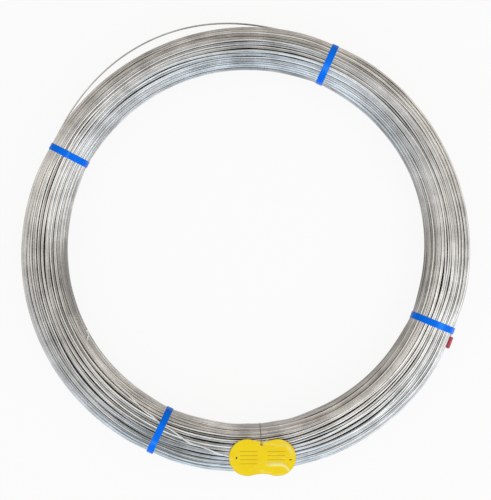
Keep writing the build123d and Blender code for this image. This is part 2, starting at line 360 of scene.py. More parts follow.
# places where the zinc's tone is painted darker or brighter, as painted shade and painted highlights:
# angle and reach in degrees, share of the way across the ring and its reach, and the change of tone
PAINTED_LIGHT_PLACES = np.array(
    [
        (0, 999, -0.02, 0.07, -1.20), (246, 13, 0.80, 0.28, -0.90), (189, 13, 0.06, 0.25, -0.95),
        (340, 26, 0.02, 0.18, -0.60), (2, 14, 0.95, 0.25, -0.30), (152, 12, 0.65, 0.25, 0.25),
        (335, 22, 0.45, 0.30, 0.50), (95, 20, 0.50, 0.30, 0.30), (34, 16, 0.90, 0.20, 0.75),
        (300, 10, 0.55, 0.30, 0.50), (90, 10, 0.35, 0.55, -0.60), (120, 24, 0.95, 0.25, -0.40),
        (165, 9, 0.70, 0.40, 0.55), (226, 9, 0.50, 0.22, 0.50), (8, 12, 0.50, 0.20, 0.40),
        (0, 10, 0.08, 0.20, -0.40), (56, 8, 0.20, 0.30, 0.50), (216, 14, 0.15, 0.25, 0.25),
    ]
)


def gap_shift(turns):
    """How far the turns stand aside for the gaps: half a gap's width to each side of it, falling off
    with an exponential of the distance and opening and closing along it with a squared cosine."""
    start, end, share, width = GAPS.T
    middle, half = (start + end) / 2 / 360, (end - start) / 2 / 360
    between = np.floor(walk_seen_at(share) / PITCH - middle) + 0.5
    offset = np.mod(turns[:, None] - middle + 0.5, 1) - 0.5
    beyond = turns[:, None] - middle - offset - between
    opening = np.cos(np.pi / 2 * np.clip(offset / half, -1, 1)) ** 2
    fall = np.exp(-(np.abs(beyond) - 0.5) * PITCH / GAP_REACH)
    return np.sum(np.sign(beyond) * width * MM / 2 * opening * fall, axis=1)


def waves(turns, table):
    """A sum of sine waves along the wire. A count near a whole number moves neighbouring turns
    together, any other moves them apart."""
    amplitude, count, phase = np.array(table).T
    return np.sum(amplitude * np.sin(2 * np.pi * (count * turns[:, None] + phase)), axis=1)


def held_down(angle):
    """How much the straps and the tag hold the turns down: 1 at each of them, falling off as a bell."""
    return np.max(bell(degrees_from(np.degrees(angle)[:, None], HELD_AT), HELD_REACH), axis=1)


def painted_light_tone(turns, walk):
    """Painted shade and highlights in the tone: each place is a bell round the coil times a bell across it.
    """
    angle, reach, share, width, amount = PAINTED_LIGHT_PLACES.T
    round_coil = bell(degrees_from(turns[:, None] * 360, angle), reach)
    across_ring = bell(share_seen_at(walk)[:, None] - share, width)
    return np.sum(amount * round_coil * across_ring, axis=1)


# the turn that has sprung, counted from the middle of the outer side
SPRUNG_LAP = round(walk_at_height(SPRUNG_HEIGHT) / PITCH - SPRUNG_ANGLE / 360)


def sprung_lift(turns):
    """The sprung turn's lift: a power of 1 less the square of the share of its half span, on one lap,
    and nothing elsewhere."""
    share = (turns - SPRUNG_LAP - SPRUNG_ANGLE / 360) * 360 / SPRUNG_HALF_SPAN
    return SPRUNG_RISE * np.clip(1 - share**2, 0, None) ** SPRUNG_BOW


def lay_turns(name, first, last, depth, rows, columns):
    """Turns of the coil as one wire: a screw round the section, one pitch to a turn, this deep under
    the outer layer, swaying, rising and rolling in waves and standing aside for the gaps."""
    turns = np.linspace(first, last, int((last - first) * rows) + 1)
    angle = 2 * np.pi * turns
    held = held_down(angle)
    walk = turns * PITCH + waves(turns, SWAY) * MM + gap_shift(turns)
    lift = waves(turns, LEVEL) * MM * (1 - LEVEL_HELD * held) - STRAP_BITE * held - depth
    if depth == 0:
        lift = lift + sprung_lift(turns)
    path, outward = on_coil(angle, walk, lift)
    shape = oval(WIRE_THICKNESS, WIRE_WIDTH, columns, WIRE_ROUNDNESS)
    roll = waves(turns, ROLL) * (1 - ROLL_HELD * held)
    # the tone: random differences between turns, plus painted highlights and painted shade
    tone = waves(turns, TONE) + painted_light_tone(turns, walk)
    return lay_length(name, path, outward, shape, tone, roll)


# the wire is laid in four lengths, whose ends are all under one strap
first_turn = STRAP_ANGLES["strap_upper_left"] / 360
lengths = [first_turn + round(TURNS * part / 4) for part in range(5)]
turn_pieces = [
    lay_turns(f"turns_{part + 1}", lengths[part], lengths[part + 1], 0, TURN_ROWS, TURN_COLUMNS)
    for part in range(4)
]
inner_turns = lay_turns(
    "turns_beneath", lengths[0], lengths[4], LAYER_DEPTH, BENEATH_ROWS, BENEATH_COLUMNS
)


def lay_core():
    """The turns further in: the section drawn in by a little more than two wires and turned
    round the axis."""
    walk = np.linspace(0, ROUND, CORE_COLUMNS, endpoint=False)
    angle = np.linspace(0, 2 * np.pi, CORE_ROWS, endpoint=False)
    angle, walk = np.meshgrid(angle, walk, indexing="ij")
    points, _ = on_coil(angle, walk, -CORE_DEPTH)
    return lay_mesh("packed_core", points[:, ::-1], ring=True)


core = lay_core()

# the wire's inner end, which stands up at the bore, lies on the turns and dips in between them: angle in
# degrees, share of the way across the ring, and lift
LAID_ON = 1.5 * MM
STANDS_UP = 1.2 * MM
DIPS_IN = 1.6 * MM
BORE_WALK = 0.46 * ROUND
INNER_END_TONE = 0.4
INNER_END_ANGLES = [207.4, 208.4, 211.2, 218, 224, 230, 240, 246, 256, 266, 272]
INNER_END_SHARES = [0.0, 0.195, 0.20, 0.207, 0.235, 0.335, 0.42, 0.57, 0.69, 0.76]
INNER_END_WALKS = [BORE_WALK, *walk_seen_at(INNER_END_SHARES)]
INNER_END_LIFTS = [LAID_ON + STANDS_UP, *[LAID_ON] * 9, -DIPS_IN]


def lay_inner_end():
    """The wire's inner end: place on the section and lift run smoothly through their values, each eased
    with a raised cosine between its neighbours."""
    numbers = np.arange(len(INNER_END_ANGLES))
    angle = np.linspace(INNER_END_ANGLES[0], INNER_END_ANGLES[-1], INNER_END_ROWS)
    stop = np.interp(angle, INNER_END_ANGLES, numbers)
    stop = np.floor(stop) + (1 - np.cos(np.pi * np.mod(stop, 1))) / 2
    angle = np.radians(angle)
    walk = np.interp(stop, numbers, INNER_END_WALKS)
    lift = np.interp(stop, numbers, INNER_END_LIFTS) - STRAP_BITE * held_down(angle)
    path, outward = on_coil(angle, walk, lift)
    shape = oval(WIRE_THICKNESS, WIRE_WIDTH, INNER_END_COLUMNS, WIRE_ROUNDNESS)
    return lay_length("inner_end", path, outward, shape, INNER_END_TONE)


inner_end = lay_inner_end()

# the wire's outer end and its cap: the wire leaves the coil on an arc this much wider than the coil's
# outer turn and ends straight in the cap
cap_low, cap_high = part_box("end_cap")
TAIL_HEIGHT = (cap_low.z + cap_high.z) / 2
TAIL_OPENING = 40 * MM
TAIL_BURY = 1.0 * MM
TAIL_RADIUS = OUTER_RADIUS - WIRE_THICKNESS / 2 - TAIL_BURY + TAIL_OPENING
TAIL_TONE = 0.2
TAIL_SOCKET_SHARE = 0.7
CAP_STAND_OFF = 2.7 * MM
CAP_MOUTH_RADIUS = OUTER_RADIUS + CAP_STAND_OFF
CAP_LENGTH = 18 * MM
CAP_SET_IN = 0.55 * MM
CAP_FULLNESS = 0.2 * MM
CAP_HEIGHT = cap_high.z - cap_low.z + CAP_FULLNESS
CAP_DEPTH = CAP_HEIGHT + 2 * CAP_FULLNESS + 2 * CAP_SET_IN
CAP_ROUNDNESS = 2.2
OUTER_CENTRE = np.array([(coil_low.x + coil_high.x) / 2, coil_low.y + OUTER_RADIUS, 0])

# the strap over the tail presses it in: depth, and reach in degrees
TAIL_PRESS, TAIL_PRESS_REACH = 1.2 * MM, 2.2

# the cap's wall from the bottom of its socket out round the mouth and back to the dome's pole: share of
# the length, share of the outer size
CAP_WALL = np.array(
    [
        (0.88, 0.02), (0.88, 0.44), (0.86, 0.47), (0.10, 0.47), (0.03, 0.49), (0.0, 0.60),
        (-0.012, 0.75), (-0.008, 0.90), (0.02, 1.0), (0.07, 1.04), (0.11, 1.03), (0.14, 0.97),
        (0.20, 0.96), (0.50, 0.97), (0.78, 0.96), (0.90, 0.93), (0.955, 0.82), (0.985, 0.62),
        (0.998, 0.33), (1.0, 0.02),
    ]
)

# the arc's sweep and the cap's middle, seen from the outer turn's centre along where the tail leaves
TAIL_ARC = np.arccos(
    (TAIL_RADIUS**2 + TAIL_OPENING**2 - CAP_MOUTH_RADIUS**2) / (2 * TAIL_RADIUS * TAIL_OPENING)
)
middle_along = TAIL_RADIUS * np.cos(TAIL_ARC) - TAIL_OPENING - np.sin(TAIL_ARC) * CAP_LENGTH / 2
middle_across = TAIL_RADIUS * np.sin(TAIL_ARC) + np.cos(TAIL_ARC) * CAP_LENGTH / 2
cap_middle = np.array([(cap_low.x + cap_high.x) / 2, (cap_low.y + cap_high.y) / 2, 0]) - OUTER_CENTRE
TAIL_LEAVE = np.arctan2(cap_middle[1], cap_middle[0]) + np.arctan2(middle_across, middle_along)
TAIL_CENTRE = OUTER_CENTRE - TAIL_OPENING * turned(TAIL_LEAVE) + np.array([0, 0, TAIL_HEIGHT])
cap_out = turned(TAIL_LEAVE - TAIL_ARC)
cap_ahead = turned(TAIL_LEAVE - TAIL_ARC - np.pi / 2)


def cap_axis(share):
    """Points on the cap's axis at these shares of its length from its mouth."""
    return TAIL_CENTRE + (TAIL_RADIUS - CAP_SET_IN) * cap_out + CAP_LENGTH * share[:, None] * cap_ahead


def lay_tail():
    """The wire's outer end: the oval carried along its arc, from inside the coil to the cap's mouth, and
    on straight into the cap. The strap that it passes under presses it in, as a bell along the arc."""
    swing = turned(TAIL_LEAVE - np.linspace(0, TAIL_ARC, TAIL_ROWS))
    arc = TAIL_CENTRE + TAIL_RADIUS * swing
    angle = np.degrees(np.arctan2(arc[:, 1], arc[:, 0]))
    away = degrees_from(angle, STRAP_ANGLES["strap_lower_right"])
    pressed = CAP_SET_IN + TAIL_PRESS * bell(away, TAIL_PRESS_REACH)
    inside = cap_axis(np.linspace(0, TAIL_SOCKET_SHARE, 4)[1:])
    path = np.concatenate([arc - pressed[:, None] * swing, inside])
    outward = np.concatenate([swing, np.broadcast_to(cap_out, inside.shape)])
    shape = oval(WIRE_THICKNESS, WIRE_WIDTH, TAIL_COLUMNS, WIRE_ROUNDNESS)
    return lay_length("wire_tail", path, outward, shape, TAIL_TONE)


def lay_cap():
    """The cap: an oval sleeve with a rolled mouth and a domed blind end, the oval carried along the wall
    at each row's share of its size."""
    run, size = CAP_WALL.T
    shape = size[:, None, None] * oval(CAP_DEPTH, CAP_HEIGHT, CAP_COLUMNS, CAP_ROUNDNESS)
    upward = np.array([0, 0, 1])
    grid = cap_axis(run)[:, None] + cap_out * shape[..., :1] + upward * shape[..., 1:]
    return lay_mesh("cap", grid)


tail = lay_tail()
cap = lay_cap()


# straps
def lay_strap(name, angle, bulges, creases):
    """A strap: a flat band carried once round the section and on over its own start for the lap, each
    bulge a bell of lift at a place on the section, with the lap one thickness higher. Each crease is a
    bell of painted highlight at a share of the way across the ring."""
    start = LAP_END - STRAP_LAP
    walk = np.linspace(start, LAP_END + ROUND, STRAP_ROWS)
    over = eased((walk - start - ROUND) / LAP_RAMP + 1)
    lift = WIRE_THICKNESS / 2 + STRAP_CLEARANCE + STRAP_THICKNESS / 2 - STRAP_BITE
    lift = lift + over * (STRAP_THICKNESS + LAP_GAP)
    for place, height, spread in bulges:
        near = np.mod(walk - place + ROUND / 2, ROUND) - ROUND / 2
        lift = lift + height * bell(near, spread)
    crease_highlight = np.zeros(len(walk))
    for share, spread in creases:
        crease_highlight = crease_highlight + bell(walk - walk_seen_at(share), spread)
    path, outward = on_coil(np.full(len(walk), np.radians(angle)), walk, lift)
    shape = oval(STRAP_THICKNESS, STRAP_WIDTH, STRAP_COLUMNS, STRAP_ROUNDNESS)
    return lay_length(name + "_band", path, outward, shape, crease_highlight)


# what each strap goes over, as place on the section, height and spread, and its creases, painted paler as
# highlights, as share of the way across the ring and spread
over_tail = (walk_at_height(TAIL_HEIGHT), 3.4 * MM, 7 * MM)
over_inner_end = (float(walk_seen_at(0.405)), LAID_ON, 5 * MM)
over_loose_turns = (8 * MM, 1.2 * MM, 9 * MM)
strap_forms = {
    "strap_upper_right": ([], [(0.42, 6 * MM)]),
    "strap_upper_left": ([], [(0.53, 2 * MM)]),
    "strap_lower_left": ([over_inner_end, over_loose_turns], [(0.80, 3 * MM)]),
    "strap_lower_right": ([over_tail], [(0.72, 5 * MM)]),
}
strap_pieces = {
    name: lay_strap(name, STRAP_ANGLES[name], bulges, creases)
    for name, (bulges, creases) in strap_forms.items()
}

# the label tag: its outline, its hole and its place
tag_low, tag_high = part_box("tag")
TAG_CENTRE = np.array([(tag_low.x + tag_high.x) / 2, (tag_low.y + tag_high.y) / 2])
TAG_BASE = tag_low.z
TAG_THICKNESS = tag_high.z - tag_low.z
LOBE_RADIUS = (tag_high.y - tag_low.y) / 2
LOBE_OFFSET = (tag_high.x - tag_low.x) / 2 - LOBE_RADIUS
WAIST_RADIUS = 55 * MM
WAIST_CENTRE = np.sqrt((LOBE_RADIUS + WAIST_RADIUS) ** 2 - LOBE_OFFSET**2)
WAIST_HALF = WAIST_CENTRE - WAIST_RADIUS
TAG_ANGLE = np.radians(274.5)
TAG_OUT = np.array([np.cos(TAG_ANGLE), np.sin(TAG_ANGLE)])
HOLE_RADIUS = 1.6 * MM
HOLE_MARGIN = 4.5 * MM
HOLE_CENTRE = TAG_OUT * (TAG_CENTRE @ TAG_OUT - WAIST_HALF + HOLE_MARGIN) - TAG_CENTRE
RIM_BULGE = 0.2 * MM
RING_POWER = 0.85

# the tag's form: how far its outer side sinks, its slow wave, and the height of its two creases
TAG_SINK = 1.4 * MM
TAG_WAVE, TAG_WAVE_X, TAG_WAVE_Y = 0.25 * MM, 9 * MM, 14 * MM
LOW_CREASE_HEIGHT, HIGH_CREASE_HEIGHT = 1.0 * MM, 0.8 * MM

# the low crease: its line below the middle, where it starts and ends, where and how it bends down
LOW_CREASE_LINE = -9.4 * MM
LOW_CREASE_START, LOW_CREASE_FADE_IN = 3 * MM, 10 * MM
LOW_CREASE_END, LOW_CREASE_FADE_OUT = 45 * MM, 6 * MM
LOW_CREASE_BEND_AT, LOW_CREASE_BEND_RUN, LOW_CREASE_BEND = 26 * MM, 14 * MM, 11 * MM
LOW_CREASE_WIDTH = 2.4 * MM

# the high crease: its radius about the lobe, its middle and reach in degrees, and its share of painted
# glare
HIGH_CREASE_RADIUS, HIGH_CREASE_WIDTH = 22 * MM, 2.0 * MM
HIGH_CREASE_ANGLE, HIGH_CREASE_REACH = 40, 26
HIGH_CREASE_GLARE = 0.6


def tag_outline(count):
    """The tag's edge at equal steps of length: two round lobes and, above and below, a waist arc that
    touches both of them."""
    reach = np.arctan2(WAIST_CENTRE, -LOBE_OFFSET)

    def arc(x, y, radius, start, end):
        swing = np.linspace(start, end, 200)
        return np.stack([x + radius * np.cos(swing), y + radius * np.sin(swing)], axis=-1)

    edge = np.concatenate(
        [
            arc(LOBE_OFFSET, 0, LOBE_RADIUS, -reach, reach),
            arc(0, WAIST_CENTRE, WAIST_RADIUS, reach - np.pi, -reach)[1:],
            arc(-LOBE_OFFSET, 0, LOBE_RADIUS, np.pi - reach, np.pi + reach)[1:],
            arc(0, -WAIST_CENTRE, WAIST_RADIUS, reach, np.pi - reach)[1:-1],
        ]
    )
    run = steps_along(edge, ring=True)
    even = np.linspace(0, run[-1], count, endpoint=False)
    edge = np.concatenate([edge, edge[:1]])
    return np.stack([np.interp(even, run, edge[:, 0]), np.interp(even, run, edge[:, 1])], axis=-1)


def tag_creases(x, y):
    """Two creases on the tag's right lobe, each a bell across a curve: one runs level under the middle
    and bends down at its end, the other follows the edge at the upper right."""
    bend = np.clip((x - LOW_CREASE_BEND_AT) / LOW_CREASE_BEND_RUN, 0, None) ** 2
    fade_in = np.clip((x - LOW_CREASE_START) / LOW_CREASE_FADE_IN, 0, 1)
    fade_out = np.clip((LOW_CREASE_END - x) / LOW_CREASE_FADE_OUT, 0, 1)
    low = fade_in * fade_out * bell(y - LOW_CREASE_LINE + LOW_CREASE_BEND * bend, LOW_CREASE_WIDTH)
    lobe_x = x - LOBE_OFFSET
    round_lobe = bell(np.degrees(np.arctan2(y, lobe_x)) - HIGH_CREASE_ANGLE, HIGH_CREASE_REACH)
    high = round_lobe * bell(np.hypot(lobe_x, y) - HIGH_CREASE_RADIUS, HIGH_CREASE_WIDTH)
    return low, high


def tag_form(x, y):
    """The tag's height over its flat place: its outer side sinks with the square of the way down, the
    sheet has a slow wave, and its creases stand up."""
    sink = -TAG_SINK * np.clip(-y / LOBE_RADIUS, 0, None) ** 2
    wave = TAG_WAVE * np.sin(x / TAG_WAVE_X + y / TAG_WAVE_Y)
    low, high = tag_creases(x, y)
    return sink + wave + LOW_CREASE_HEIGHT * low + HIGH_CREASE_HEIGHT * high


def lay_tag():
    """The tag: rings that grow with a power of their number from the hole's edge to the outline, on an
    upper and a lower face that join at the rim and at the hole, bent to the tag's form. Its upper face
    carries how far each point is in from the edge and how creased it is, which the material paints as
    glare."""
    edge = tag_outline(TAG_COLUMNS)
    toward = edge - HOLE_CENTRE
    toward = toward / np.linalg.norm(toward, axis=1, keepdims=True)
    hole = HOLE_CENTRE + HOLE_RADIUS * toward
    share = np.linspace(0, 1, TAG_ROWS) ** RING_POWER
    flat = hole[None] + (edge - hole)[None] * share[:, None, None]
    height = TAG_BASE + tag_form(flat[..., 0], flat[..., 1])
    lower = np.dstack([flat + TAG_CENTRE, height])
    upper = np.dstack([flat + TAG_CENTRE, height + TAG_THICKNESS])
    rim = (lower[-1:] + upper[-1:]) / 2
    rim[..., :2] += toward[None] * RIM_BULGE
    piece = lay_mesh("tag_sheet", np.concatenate([upper, rim, lower[::-1]]), ring=True)
    inset = np.min(np.linalg.norm(flat[:, :, None] - edge[None, None], axis=-1), axis=2)
    low, high = tag_creases(flat[..., 0], flat[..., 1])
    crease = np.maximum(low, HIGH_CREASE_GLARE * high)
    rim_and_back = np.zeros((TAG_ROWS + 1, TAG_COLUMNS))
    set_values(piece.data, "inset", np.concatenate([inset, rim_and_back]))
    set_values(piece.data, "crease", np.concatenate([crease, rim_and_back]))
    return piece


# the tie: its size and its gap to the turns, how it comes up through the hole, runs over the tag's inner
# edge and comes down, and where and how much it is painted darker at the bore's rim, as painted shade
TIE_DIAMETER = 0.8 * MM
TIE_GAP = 0.35 * MM
TIE_RISE_RUN = 1.8 * MM
TIE_LEVEL_RUN = 6.5 * MM
TIE_FALL_RUN = 9 * MM
TIE_OVER_TAG = 0.3 * MM
TIE_LEVEL = tag_high.z + TIE_OVER_TAG + TIE_DIAMETER / 2
BORE_SHADE_WALK, BORE_SHADE_REACH, BORE_SHADE_TONE = 0.42 * ROUND, 14 * MM, -1.2

# the tie's free end: its size, where it starts, how far it reaches from the hole, the height of its arch
# and how many half waves of it the end has, and how bright it is
TIE_END_DIAMETER = 1.1 * MM
TIE_END_START = 0.6 * MM
TIE_END_REACH = np.array([8.8, 7.3, 0.9]) * MM
TIE_END_ARCH = 1.7 * MM
TIE_END_HALF_WAVES = 1.15
TIE_END_TONE = 1.6


def lay_tie():
    """The tie: a thin round wire carried round the section at the tag's angle, which comes up through
    the tag's hole, runs level over its inner edge and eases back down on to the coil. It is painted darker
    at the bore's rim as painted shade, a bell along it."""
    walk = np.linspace(0, ROUND, TIE_ROWS, endpoint=False)
    hole_walk = walk_on_crown(np.linalg.norm(HOLE_CENTRE + TAG_CENTRE))
    rise = eased((walk - hole_walk) / TIE_RISE_RUN + 0.5)
    fall = eased((walk - hole_walk - TIE_LEVEL_RUN) / TIE_FALL_RUN)
    lift = WIRE_THICKNESS / 2 + TIE_DIAMETER / 2 + TIE_GAP
    path, outward = on_coil(np.full(len(walk), TAG_ANGLE), walk, lift)
    path[:, 2] += (rise - fall) * (TIE_LEVEL - path[:, 2])
    shape = oval(TIE_DIAMETER, TIE_DIAMETER, TIE_COLUMNS)
    # painted shade: the tie is darker where it goes down at the bore's rim
    tone = BORE_SHADE_TONE * bell(walk - BORE_SHADE_WALK, BORE_SHADE_REACH)
    return lay_length("tie_loop", path, outward, shape, tone, ring=True)


def lay_tie_end():
    """The tie's free end: a short thin wire that comes up out of the hole and leans over the tag's inner
    edge, on one half wave of a sine of height and straight after it."""
    run = np.linspace(0, 1, TIE_END_ROWS)
    start = np.append(TAG_CENTRE + HOLE_CENTRE, TAG_BASE + TIE_END_START)
    path = start + run[:, None] * TIE_END_REACH
    path[:, 2] += TIE_END_ARCH * np.sin(np.pi * np.clip(run * TIE_END_HALF_WAVES, 0, 1))
    outward = np.broadcast_to([0.0, 0.0, 1.0], path.shape)
    shape = oval(TIE_END_DIAMETER, TIE_END_DIAMETER, TIE_END_COLUMNS)
    return lay_length("tie_end", path, outward, shape, TIE_END_TONE)


tag = lay_tag()
tie = lay_tie()
tie_end = lay_tie_end()

# colours
WIRE_DULL, WIRE_BRIGHT = (0.29, 0.28, 0.265, 1), (0.90, 0.885, 0.86, 1)
TIE_DULL, TIE_BRIGHT = (0.10, 0.095, 0.085, 1), (0.60, 0.59, 0.56, 1)
# the deep turns are painted nearly black, as painted shade
CORE_SHADE_DARK, CORE_SHADE_PALE = (0.015, 0.014, 0.014, 1), (0.05, 0.048, 0.046, 1)
# the worn blue serves both the real scuffs and the painted highlights at the strap creases
STRAP_BLUE, STRAP_WORN_AND_LIT = (0.0005, 0.155, 0.80, 1), (0.035, 0.28, 0.92, 1)
CARD_DEEP, CARD_PALE = (0.86, 0.55, 0.002, 1), (0.90, 0.68, 0.004, 1)
CARD_EDGE, CARD_MARK = (0.45, 0.30, 0.02, 1), (0.07, 0.055, 0.02, 1)
FILM_GLINT = (0.90, 0.86, 0.45, 1)
CAP_RED, CAP_SCUFFED = (0.42, 0.006, 0.03, 1), (0.68, 0.10, 0.13, 1)
FLOOR_PALE, FLOOR_WHITE = (0.66, 0.64, 0.61, 1), (1, 1, 1, 1)
SIDE_WALLS, BACK_WALL = (0.74, 0.70, 0.64, 1), (0.54, 0.435, 0.30, 1)
FRONT_WALL, CEILING = (0.74, 1.06, 1.46, 1), (0.90, 0.88, 0.855, 1)


# nodes
def new_material(name):
    """A material with its node tree and its Principled shader."""
    material = bpy.data.materials.new(name)
    material.use_nodes = True
    tree = material.node_tree
    return material, tree, tree.nodes["Principled BSDF"]


def add_node(tree, kind, inputs=(), **settings):
    """Adds a node, sets its properties, and sets or links its inputs by name or number."""
    node = tree.nodes.new(kind)
    for key, value in settings.items():
        setattr(node, key, value)
    for key, value in dict(inputs).items():
        if isinstance(value, bpy.types.NodeSocket):
            tree.links.new(value, node.inputs[key])
        else:
            node.inputs[key].default_value = value
    return node


def compute(tree, operation, first, second=0.0, third=0.0):
    """The value of a Math node."""
    return add_node(tree, "ShaderNodeMath", {0: first, 1: second, 2: third}, operation=operation).outputs[0]


def blend_colours(tree, factor, first, second):
    """The colour of a Mix node."""
    node = add_node(tree, "ShaderNodeMix", {0: factor, 6: first, 7: second}, data_type="RGBA")
    return node.outputs[2]


def noise(tree, vector, scale, detail, distortion=0.0):
    """The value of a Noise texture."""
    inputs = {"Vector": vector, "Scale": scale, "Detail": detail, "Distortion": distortion}
    return add_node(tree, "ShaderNodeTexNoise", inputs).outputs["Fac"]


def mapped(tree, vector, scale=(1, 1, 1), rotation=(0, 0, 0), location=(0, 0, 0)):
    """Coordinates stretched, turned and moved by a Mapping node."""
    inputs = {"Vector": vector, "Location": location, "Rotation": rotation, "Scale": scale}
    return add_node(tree, "ShaderNodeMapping", inputs).outputs["Vector"]


def ramp(tree, value, low, high, at_low=0.0, at_high=1.0, interpolation="LINEAR"):
    """A value carried from one range to another by a Map Range node."""
    inputs = {"Value": value, "From Min": low, "From Max": high, "To Min": at_low, "To Max": at_high}
    return add_node(tree, "ShaderNodeMapRange", inputs, interpolation_type=interpolation).outputs["Result"]


def mesh_value(tree, name):
    """The value that the mesh carries under this name."""
    return add_node(tree, "ShaderNodeAttribute", attribute_name=name).outputs["Fac"]


def add_bump(tree, shader, height, strength, distance):
    """Feeds a height through a Bump node into the shader's normal."""
    bump = add_node(tree, "ShaderNodeBump", {"Height": height, "Strength": strength, "Distance": distance})
    tree.links.new(bump.outputs["Normal"], shader.inputs["Normal"])


def new_group(name, inputs, outputs):
    """A node group with these sockets: the group, what it is given and what it results in."""
    group = bpy.data.node_groups.new(name, "ShaderNodeTree")
    for side, sockets in (("INPUT", inputs), ("OUTPUT", outputs)):
        for socket, kind in sockets.items():
            group.interface.new_socket(socket, in_out=side, socket_type="NodeSocket" + kind)
    given = group.nodes.new("NodeGroupInput").outputs
    result = group.nodes.new("NodeGroupOutput").inputs
    return group, given, result


# finishes that materials share
def make_zinc_group():
    """Zinc film on drawn wire: dull and bright patches, faint spangle and streaks along the wire."""
    group, given, result = new_group(
        "zinc_film",
        {"Place": "Vector", "Length": "Vector", "Tone": "Float", "Dull": "Color", "Bright": "Color"},
        {"Colour": "Color", "Roughness": "Float", "Height": "Float"},
    )
    patch = noise(group, given["Place"], scale=32.0, detail=3.0)
    spangle = noise(group, given["Place"], scale=320.0, detail=1.0)
    drawn = mapped(group, given["Length"], scale=(30.0, 1400.0, 1.0))
    streak = noise(group, drawn, scale=1.0, detail=2.0)
    light = compute(group, "MULTIPLY_ADD", given["Tone"], 0.60, patch)
    light = compute(group, "MULTIPLY_ADD", compute(group, "SUBTRACT", streak, 0.5), 0.35, light)
    light = compute(group, "MULTIPLY_ADD", compute(group, "SUBTRACT", spangle, 0.5), 0.30, light)
    group.links.new(blend_colours(group, light, given["Dull"], given["Bright"]), result["Colour"])
    group.links.new(compute(group, "MULTIPLY_ADD", patch, -0.14, 0.36), result["Roughness"])
    group.links.new(compute(group, "MULTIPLY_ADD", streak, 0.5, spangle), result["Height"])
    return group


def make_moulding_group():
    """Handled plastic: faint scuffs that dull it and a slow unevenness of the surface."""
    group, given, result = new_group(
        "handled_plastic",
        {"Place": "Vector", "Roughness": "Float"},
        {"Scuff": "Float", "Roughness": "Float", "Height": "Float"},
    )
    drawn = mapped(group, given["Place"], rotation=(0.3, 0.2, 0.7), scale=(900, 90, 300))
    scuff = ramp(group, noise(group, drawn, scale=1.0, detail=4.0), 0.56, 0.78)
    uneven = noise(group, given["Place"], scale=140.0, detail=2.0)
    group.links.new(scuff, result["Scuff"])
    group.links.new(compute(group, "MULTIPLY_ADD", scuff, 0.25, given["Roughness"]), result["Roughness"])
    group.links.new(compute(group, "MULTIPLY_ADD", scuff, -0.3, uneven), result["Height"])
    return group


ZINC = make_zinc_group()
MOULDING = make_moulding_group()


def handled(tree, shader, place, roughness):
    """Places the handled plastic group, feeds the shader's roughness and returns the group's outputs."""
    inputs = {"Place": place, "Roughness": roughness}
    wear = add_node(tree, "ShaderNodeGroup", inputs, node_tree=MOULDING).outputs
    tree.links.new(wear["Roughness"], shader.inputs["Roughness"])
    return wear


# materials
def zinc_wire(name, dull, bright):
    """Galvanised wire between a dull and a bright colour, its tone changing along each turn."""
    material, tree, shader = new_material(name)
    place = add_node(tree, "ShaderNodeTexCoord").outputs
    inputs = {
        "Place": place["Object"],
        "Length": place["UV"],
        "Tone": mesh_value(tree, "tone"),
        "Dull": dull,
        "Bright": bright,
    }
    film = add_node(tree, "ShaderNodeGroup", inputs, node_tree=ZINC).outputs
    tree.links.new(film["Colour"], shader.inputs["Base Color"])
    tree.links.new(film["Roughness"], shader.inputs["Roughness"])
    shader.inputs["Metallic"].default_value = 1.0
    add_bump(tree, shader, film["Height"], 0.02, 0.1 * MM)
    return material


def shaded_core():
    """The turns deep in the coil: zinc painted nearly black as painted shade, mottled."""
    material, tree, shader = new_material("shaded_core")
    place = add_node(tree, "ShaderNodeTexCoord").outputs["Object"]
    colour = blend_colours(tree, noise(tree, place, scale=60.0, detail=3.0), CORE_SHADE_DARK, CORE_SHADE_PALE)
    tree.links.new(colour, shader.inputs["Base Color"])
    shader.inputs["Roughness"].default_value = 0.9
    return material


LATTICE_PITCH = 2.2 * MM


def strap_plastic():
    """Blue polypropylene strap: a pressed lattice of two slanted sine waves, paler where it is scuffed, and
    painted paler at its creases as painted highlights."""
    material, tree, shader = new_material("blue_strap")
    place = add_node(tree, "ShaderNodeTexCoord").outputs
    wear = handled(tree, shader, place["Object"], 0.34)
    along, across, _ = add_node(tree, "ShaderNodeSeparateXYZ", {"Vector": place["UV"]}).outputs
    slants = [compute(tree, operation, along, across) for operation in ("ADD", "SUBTRACT")]
    steep = 2 * np.pi / LATTICE_PITCH
    one, two = [compute(tree, "SINE", compute(tree, "MULTIPLY", slant, steep)) for slant in slants]
    lattice = compute(tree, "MAXIMUM", one, two)
    # painted highlights: the creases are painted paler
    lit_crease = compute(tree, "MULTIPLY", mesh_value(tree, "tone"), 0.6)
    paler = compute(tree, "MULTIPLY_ADD", wear["Scuff"], 0.15, lit_crease)
    tree.links.new(blend_colours(tree, paler, STRAP_BLUE, STRAP_WORN_AND_LIT), shader.inputs["Base Color"])
    shader.inputs["Specular IOR Level"].default_value = 0.05
    add_bump(tree, shader, compute(tree, "MULTIPLY_ADD", lattice, 0.5, wear["Height"]), 0.35, 0.12 * MM)
    return material


# what is on the tag: ruled lines in two blocks, and two punched slots, as middle and half size
RULE_HALF_SPACING, RULE_OFFSET, RULE_HALF_WIDTH = 3 * MM, 9 * MM, 0.3 * MM
RULED_MIDDLE, RULED_HALF_LENGTH, RULED_HALF_HEIGHT = 20 * MM, 13 * MM, 9.5 * MM
RULE_DARKNESS = 0.7
LEFT_SLOT = (-38 * MM, -0.3 * MM, 1.1 * MM, 1.9 * MM)
RIGHT_SLOT = (41 * MM, -3.2 * MM, 2.2 * MM, 0.9 * MM)


